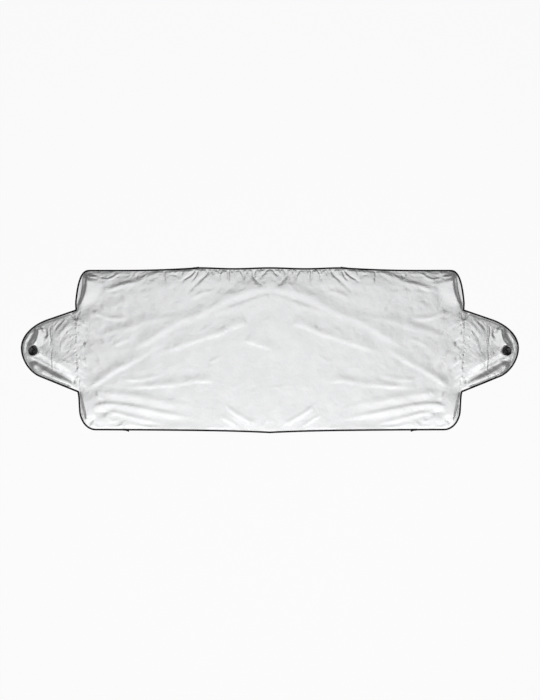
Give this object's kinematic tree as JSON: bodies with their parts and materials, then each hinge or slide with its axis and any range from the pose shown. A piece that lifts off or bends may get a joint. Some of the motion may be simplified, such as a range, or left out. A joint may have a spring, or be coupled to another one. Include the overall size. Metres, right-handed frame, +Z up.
{
  "type": "windshield sun shade",
  "caption": "Outside windshield shade: a long silver cloth panel, taped round its edge, with a rounded flap sewn to each end and a suction cup at each flap's tip.",
  "frame": {"origin": "on the surface that the shade lies on, under the middle of its outline", "axes": "+X along the shade to its right flap, +Y to its upper edge, +Z up, out of the silver face"},
  "size_m": [1.9172, 0.6413, 0.0234],
  "materials": {
    "silver_cloth": "silver-coated, satin",
    "facing_cloth": "matt",
    "edge_tape": "matt black",
    "cup_rubber": "glossy black",
    "eyelet_metal": "plated"
  },
  "bodies": {
    "root": {"main_panel": "silver_cloth", "left_flap": "silver_cloth", "right_flap": "silver_cloth", "left_tip_facing": "facing_cloth", "right_tip_facing": "facing_cloth", "top_edge_tape": "edge_tape", "bottom_edge_tape": "edge_tape", "left_edge_tape": "edge_tape", "right_edge_tape": "edge_tape", "left_suction_cup": "cup_rubber", "right_suction_cup": "cup_rubber", "left_eyelet": "eyelet_metal", "right_eyelet": "eyelet_metal", "left_eyelet_washer": "eyelet_metal", "right_eyelet_washer": "eyelet_metal"}
  },
  "joints": []
}
